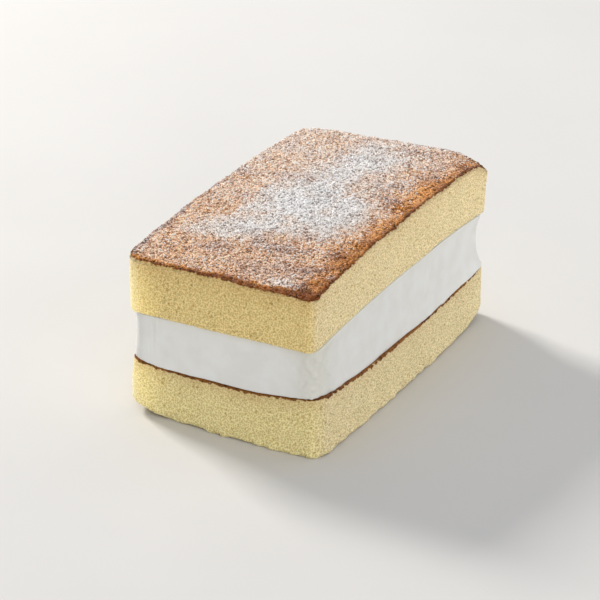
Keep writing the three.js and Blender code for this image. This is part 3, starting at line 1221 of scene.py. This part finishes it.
def lay_crumb_and_skin(tree, colours, thickness, baked):
    flat = {"X": stored(tree, "way"), "Y": stored(tree, "below")}
    crumb = place_group(tree, CRUMB, {
        "Wall Colour": sponge_tone(tree, colours, "wall"),
        "Pore Shade Colour": sponge_tone(tree, colours, "pore"),
        "Pore Spacing": colours["spacing"],
        "Flat Place": wire(tree, "ShaderNodeCombineXYZ", flat).outputs[0],
        "Pit": stored(tree, "pit"),
    })
    skin = place_group(tree, BROWNED, {
        "Below": stored(tree, "below"),
        "Thickness": thickness,
        "Baked And Lit": baked,
        "Raggedness": colours["raggedness"],
        "Blotches": colours["blotches"],
        "Dark Brown": colours["dark brown"],
        "Light Brown": colours["light brown"],
    })
    toast_share = add_share(tree, TOAST_ON_SIDES, stored(tree, "end"), colours["toast share"])
    toast = times(tree, skin["Toast"], toast_share)
    toasted = blend_colours(tree, toast, crumb["Colour"], colours["toast"])
    return crumb, skin, blend_colours(tree, skin["Skin"], toasted, skin["Colour"])


def finish_sponge(tree, shader, colour, height, roughness):
    bump = wire(tree, "ShaderNodeBump", {"Height": height, "Strength": 0.5, "Distance": GRAIN_DEPTH})
    link_all(tree, shader, {"Base Color": colour, "Roughness": roughness, "Normal": bump.outputs[0]})
    shader["Specular IOR Level"].default_value = 0.25
    set_scatter(shader, SCATTER, SCATTER_REACH)


# %% [markdown]
# On its cut ends the lower slab has the paler crumb of the two. Its skin is the darker one, and shows
# only as a line.

# %% Material: lower sponge
LOWER_COLOURS = {
    # the pore colours are painted shade inside the crumb's pores
    "side wall": (0.90, 0.77, 0.465, 1),
    "side pore": (0.48, 0.385, 0.19, 1),
    "end wall": (1.0, 0.885, 0.465, 1),
    "end pore": (0.60, 0.465, 0.18, 1),
    # painted glow near the left edge, for light passing through the sponge
    "pale wall": (1.0, 0.92, 0.72, 1),
    "pale pore": (0.88, 0.75, 0.48, 1),
    "toast": (0.42, 0.22, 0.10, 1),
    "dark brown": (0.10, 0.03, 0.003, 1),
    "light brown": (0.30, 0.115, 0.018, 1),
    "spacing": 0.6,
    "toast share": 0.28,
    "raggedness": 2.0,
    "blotches": 1.0,
}
LOWER_SKIN = (0.48, 0.2)  # mm thick on the long sides, and added on the cut ends
LOWER_BAKED = 0.3


def make_lower_material():
    material, tree, shader = start_material("lower_sponge")
    thickness = add_share(tree, LOWER_SKIN[0], stored(tree, "end"), LOWER_SKIN[1])
    crumb, skin, colour = lay_crumb_and_skin(tree, LOWER_COLOURS, thickness, LOWER_BAKED)
    roughness = soft_range(tree, skin["Skin"], 0, 1, 0.92, 0.75)
    finish_sponge(tree, shader, colour, crumb["Height"], roughness)
    return material


give(make_lower_material(), "lower_crumb")

# %% [markdown]
# The upper slab adds a film of sugar, finer than any grain. The stored share says how white the crust
# should be. A speckle, made of the mesh's own bumps and of fine noise, makes the film grainy: bumps carry
# white specks, and light and shade are painted on the grain, lighter on the bumps and darker in the dips.
# Pinholes and dips are painted darker too, as shade: brown where the film is thin, and grey where it is
# thick and lines them.

# %% The film of sugar
POWDER = (0.97, 0.96, 0.95, 1)
# grey painted as shade on the film in pinholes and dips
POWDER_SHADE_IN_PITS = (0.26, 0.235, 0.22, 1)
WHITEST = (0.98, 0.98, 0.98)
SPECKLE_SIZE = 0.38  # mm
BUMPS_IN_SPECKLE = 1.1  # how much the mesh's bumps count beside the fine noise
BREAK_UP = 0.1  # how much the speckle breaks up a film that is half thick
SPECKS = (0.6, 1.6, 0.0, 0.2)  # speckle between which white specks set in, and the white they add
IN_PINHOLES = -0.15  # white that a pinhole takes away
SHADE_IN_DIPS = (0.3, 0.6)  # share of the painted grey shade in the dips of a thin film, and added by a thick one
PAINTED_RELIEF_SHADING = (0.56, -0.3)  # painted light and shade that the speckle gives bare crust, and added by a whole film


def speckle_of(tree, place):
    grain = soft_range(tree, noise(tree, place, SPECKLE_SIZE, 1.0), 0.40, 0.60, -1.0, 1.0)
    return add_share(tree, grain, stored(tree, "bump"), BUMPS_IN_SPECKLE)


def powder_share(tree, speckle):
    """How much of the crust the film covers at each point."""
    film = stored(tree, "sugar")
    swallowed = times(tree, stored(tree, "crater"), less(tree, 1.05, film))
    broken = times(tree, film, less(tree, 1.15, film))
    level = add_share(tree, film, speckle, times(tree, broken, BREAK_UP))
    level = add_share(tree, level, swallowed, IN_PINHOLES)
    level = add_share(tree, level, soft_range(tree, speckle, *SPECKS), soft_range(tree, film, 0.0, 0.3))
    return times(tree, clamped(tree, level), soft_range(tree, film, 0.0, 0.15))


def powder_colour_with_shade(tree, dip):
    # the film turns grey in pinholes and dips: painted shade
    shaded = times(tree, dip, add_share(tree, SHADE_IN_DIPS[0], stored(tree, "sugar"), SHADE_IN_DIPS[1]))
    dark = maths(tree, "MAXIMUM", stored(tree, "crater"), shaded)
    return blend_colours(tree, dark, POWDER, POWDER_SHADE_IN_PITS)


def paint_light_and_shade_on_grain(tree, colour, speckle, powder, skin):
    """Paints light on the bumps and shade in the dips, most where the film is thin."""
    painted_relief = times(tree, add_share(tree, PAINTED_RELIEF_SHADING[0], powder, PAINTED_RELIEF_SHADING[1]), skin)
    colour = vector_maths(tree, "SCALE", {0: colour, "Scale": add_share(tree, 1.0, speckle, painted_relief)})
    return vector_maths(tree, "MINIMUM", {0: colour, 1: WHITEST})


# %% [markdown]
# The upper slab is crumb and skin, as the lower one is, with the film over its crust. The crust lets less
# light in than the crumb, and its dips and pinholes are painted a darker brown, as shade.

# %% Material: upper sponge
UPPER_COLOURS = {
    # the pore colours are painted shade inside the crumb's pores
    "side wall": (0.94, 0.79, 0.475, 1),
    "side pore": (0.51, 0.395, 0.185, 1),
    "end wall": (0.955, 0.752, 0.352, 1),
    "end pore": (0.535, 0.402, 0.143, 1),
    # painted glow near the left edge, for light passing through the sponge
    "pale wall": (1.0, 0.93, 0.70, 1),
    "pale pore": (0.96, 0.85, 0.52, 1),
    "toast": (0.48, 0.21, 0.06, 1),
    "dark brown": (0.20, 0.058, 0.008, 1),
    "light brown": (0.70, 0.285, 0.058, 1),
    "spacing": 0.62,
    "toast share": 0.16,
    "raggedness": 1.6,
    "blotches": 0.15,
}
DEEP_DIP = -1.4  # speckle at the bottom of a dip
DIPS_AS_HOLLOWS = 0.3  # how much a dip counts beside a pinhole
# share of dark brown painted into pinholes and dips, as shade
HOLLOW_PAINTED_SHADE = 0.65
GRIT_HEIGHT = 11.0  # of the crust's fine grit, as a multiple of the crumb's grain
CRUST_SCATTER = 0.05


def make_upper_material():
    material, tree, shader = start_material("upper_sponge")
    thickness, baked = stored(tree, "thickness"), stored(tree, "baked")
    crumb, skin, colour = lay_crumb_and_skin(tree, UPPER_COLOURS, thickness, baked)
    place = millimetres(tree)
    speckle = speckle_of(tree, place)
    dip = times(tree, soft_range(tree, speckle, 0.0, DEEP_DIP), skin["Skin"])
    # pinholes and dips darken the crust: painted shade
    hollow_shade = maths(tree, "MAXIMUM", stored(tree, "crater"), times(tree, dip, DIPS_AS_HOLLOWS))
    colour = blend_colours(tree, times(tree, hollow_shade, HOLLOW_PAINTED_SHADE), colour, UPPER_COLOURS["dark brown"])
    powder = powder_share(tree, speckle)
    colour = blend_colours(tree, powder, colour, powder_colour_with_shade(tree, dip))
    colour = paint_light_and_shade_on_grain(tree, colour, speckle, powder, skin["Skin"])
    grit = times(tree, noise(tree, place, 0.5, 2.0), GRIT_HEIGHT)
    height = blend_colours(tree, skin["Skin"], crumb["Height"], grit)
    roughness = soft_range(tree, less(tree, skin["Skin"], powder), 0, 1, 0.92, 0.62)
    finish_sponge(tree, shader, colour, height, roughness)
    inputs = {"Value": stored(tree, "crust"), "To Min": SCATTER, "To Max": CRUST_SCATTER}
    tree.links.new(wire(tree, "ShaderNodeMapRange", inputs).outputs[0], shader["Subsurface Weight"])
    return material


give(make_upper_material(), "upper_crumb", "upper_crust")

# %% [markdown]
# Whipped cream is white fat and air: light enters it and comes out again a few millimetres on, which
# fills its own shadows. It is smoother than the sponge and has a weak, broad gloss.

# %% Material: cream
CREAM_LIGHT = (0.818, 0.824, 0.800, 1)
CREAM_SHADE = (0.785, 0.780, 0.747, 1)
# painted shade and yellow bounce light on the cream
CREAM_SHADE_AND_BOUNCE = (0.705, 0.70, 0.635, 1)
CREAM_SCATTER_REACH = (1.0, 0.92, 0.78)


def make_cream_material():
    material, tree, shader = start_material("cream")
    cloud = place_group(tree, MOTTLE, {"Light": CREAM_LIGHT, "Shade": CREAM_SHADE, "Size": 6.0})
    height = times(tree, noise(tree, millimetres(tree), 0.6, 3.0), stored(tree, "streaked"))
    bump = wire(tree, "ShaderNodeBump", {"Height": height, "Strength": 0.25, "Distance": 0.1 * MM})
    # the cream is blended towards its painted shade and bounce colour
    link_all(tree, shader, {
        "Base Color": blend_colours(tree, stored(tree, "warm"), cloud["Colour"], CREAM_SHADE_AND_BOUNCE),
        "Roughness": soft_range(tree, cloud["Value"], 0, 1, 0.55, 0.42),
        "Normal": bump.outputs["Normal"],
    })
    shader["Specular IOR Level"].default_value = 0.35
    set_scatter(shader, SCATTER, CREAM_SCATTER_REACH)
    return material


give(make_cream_material(), "whipped_cream")

# %% [markdown]
# Icing sugar is a matt white powder. Its lumps are thick enough to hide the crust, so they need no
# scattering, only a little mottle, so that no two of them are quite alike.

# %% Material: icing sugar
SUGAR_LIGHT = (0.97, 0.965, 0.96, 1)
SUGAR_SHADE = (0.90, 0.885, 0.87, 1)


def make_sugar_material():
    material, tree, shader = start_material("icing_sugar")
    cloud = place_group(tree, MOTTLE, {"Light": SUGAR_LIGHT, "Shade": SUGAR_SHADE, "Size": 1.5})
    roughness = soft_range(tree, cloud["Value"], 0, 1, 0.9, 0.7)
    link_all(tree, shader, {"Base Color": cloud["Colour"], "Roughness": roughness})
    shader["Specular IOR Level"].default_value = 0.3
    return material


give(make_sugar_material(), "icing_sugar")

# %% [markdown]
# Sponge also lets light through: where the window shines on its left side, the cut front end glows near
# that side. Scattering that far would have to pass between the layers, so the crumb would go dark beside
# the cream. A lamp with a soft rim stands in for that light. It is linked to the crumb, so the cream and
# the table don't see it.

# %% Light through the sponge
GLOW_MIDDLE = Vector((-75, -51, 25)) * MM  # of its beam, in the plane of the front end
GLOW_RADIUS = 60 * MM
GLOW_FROM = Vector((-0.10, -1.0, 0.25))
GLOW_POWER = 46
GLOW_COLOUR = (1.0, 0.92, 0.38)
glow = hang_light("glow", "SPOT", GLOW_MIDDLE + GLOW_FROM, GLOW_FROM, GLOW_POWER, GLOW_COLOUR)
glow.data.spot_size = 2 * math.atan(GLOW_RADIUS / GLOW_FROM.length)
glow.data.spot_blend = 1.0
crumb_pieces = bpy.data.collections.new("crumb_pieces")
for name in ("lower_crumb", "upper_crumb"):
    crumb_pieces.objects.link(PIECES[name])
glow.light_linking.receiver_collection = crumb_pieces
print("glow fades out", round((GLOW_MIDDLE.x + GLOW_RADIUS) / MM + WIDTH / 2, 1), "mm from the left side")

# %% [markdown]
# The cake stands on a plain pale table, which is only there to catch its shadow.

# %% Table
TABLE_HALF = 6.0  # m
TABLE_CORNERS = ((-1, -1), (1, -1), (1, 1), (-1, 1))
TABLE_LIGHT = (0.67, 0.662, 0.645, 1)
TABLE_SHADE = (0.657, 0.649, 0.632, 1)
table_mesh = bpy.data.meshes.new("table")
table_mesh.from_pydata([(TABLE_HALF * x, TABLE_HALF * y, 0) for x, y in TABLE_CORNERS], [], [range(4)])
table = bpy.data.objects.new("table", table_mesh)
put_in_scene(table)
table_material, table_tree, table_shader = start_material("table")
table_cloud = place_group(table_tree, MOTTLE, {"Light": TABLE_LIGHT, "Shade": TABLE_SHADE, "Size": 60.0})
table_tree.links.new(table_cloud["Colour"], table_shader["Base Color"])
table_shader["Roughness"].default_value = 0.6
table_mesh.materials.append(table_material)
print("table is", 2 * TABLE_HALF, "m wide")

# %% [markdown]
# Last, each piece is attached to the root body, and the solid that it stands for is hidden.

# %% Hand the pieces over
for name, piece in PIECES.items():
    node = STANDS_FOR.get(name)
    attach(piece, "root")
    if node:
        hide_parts(node)
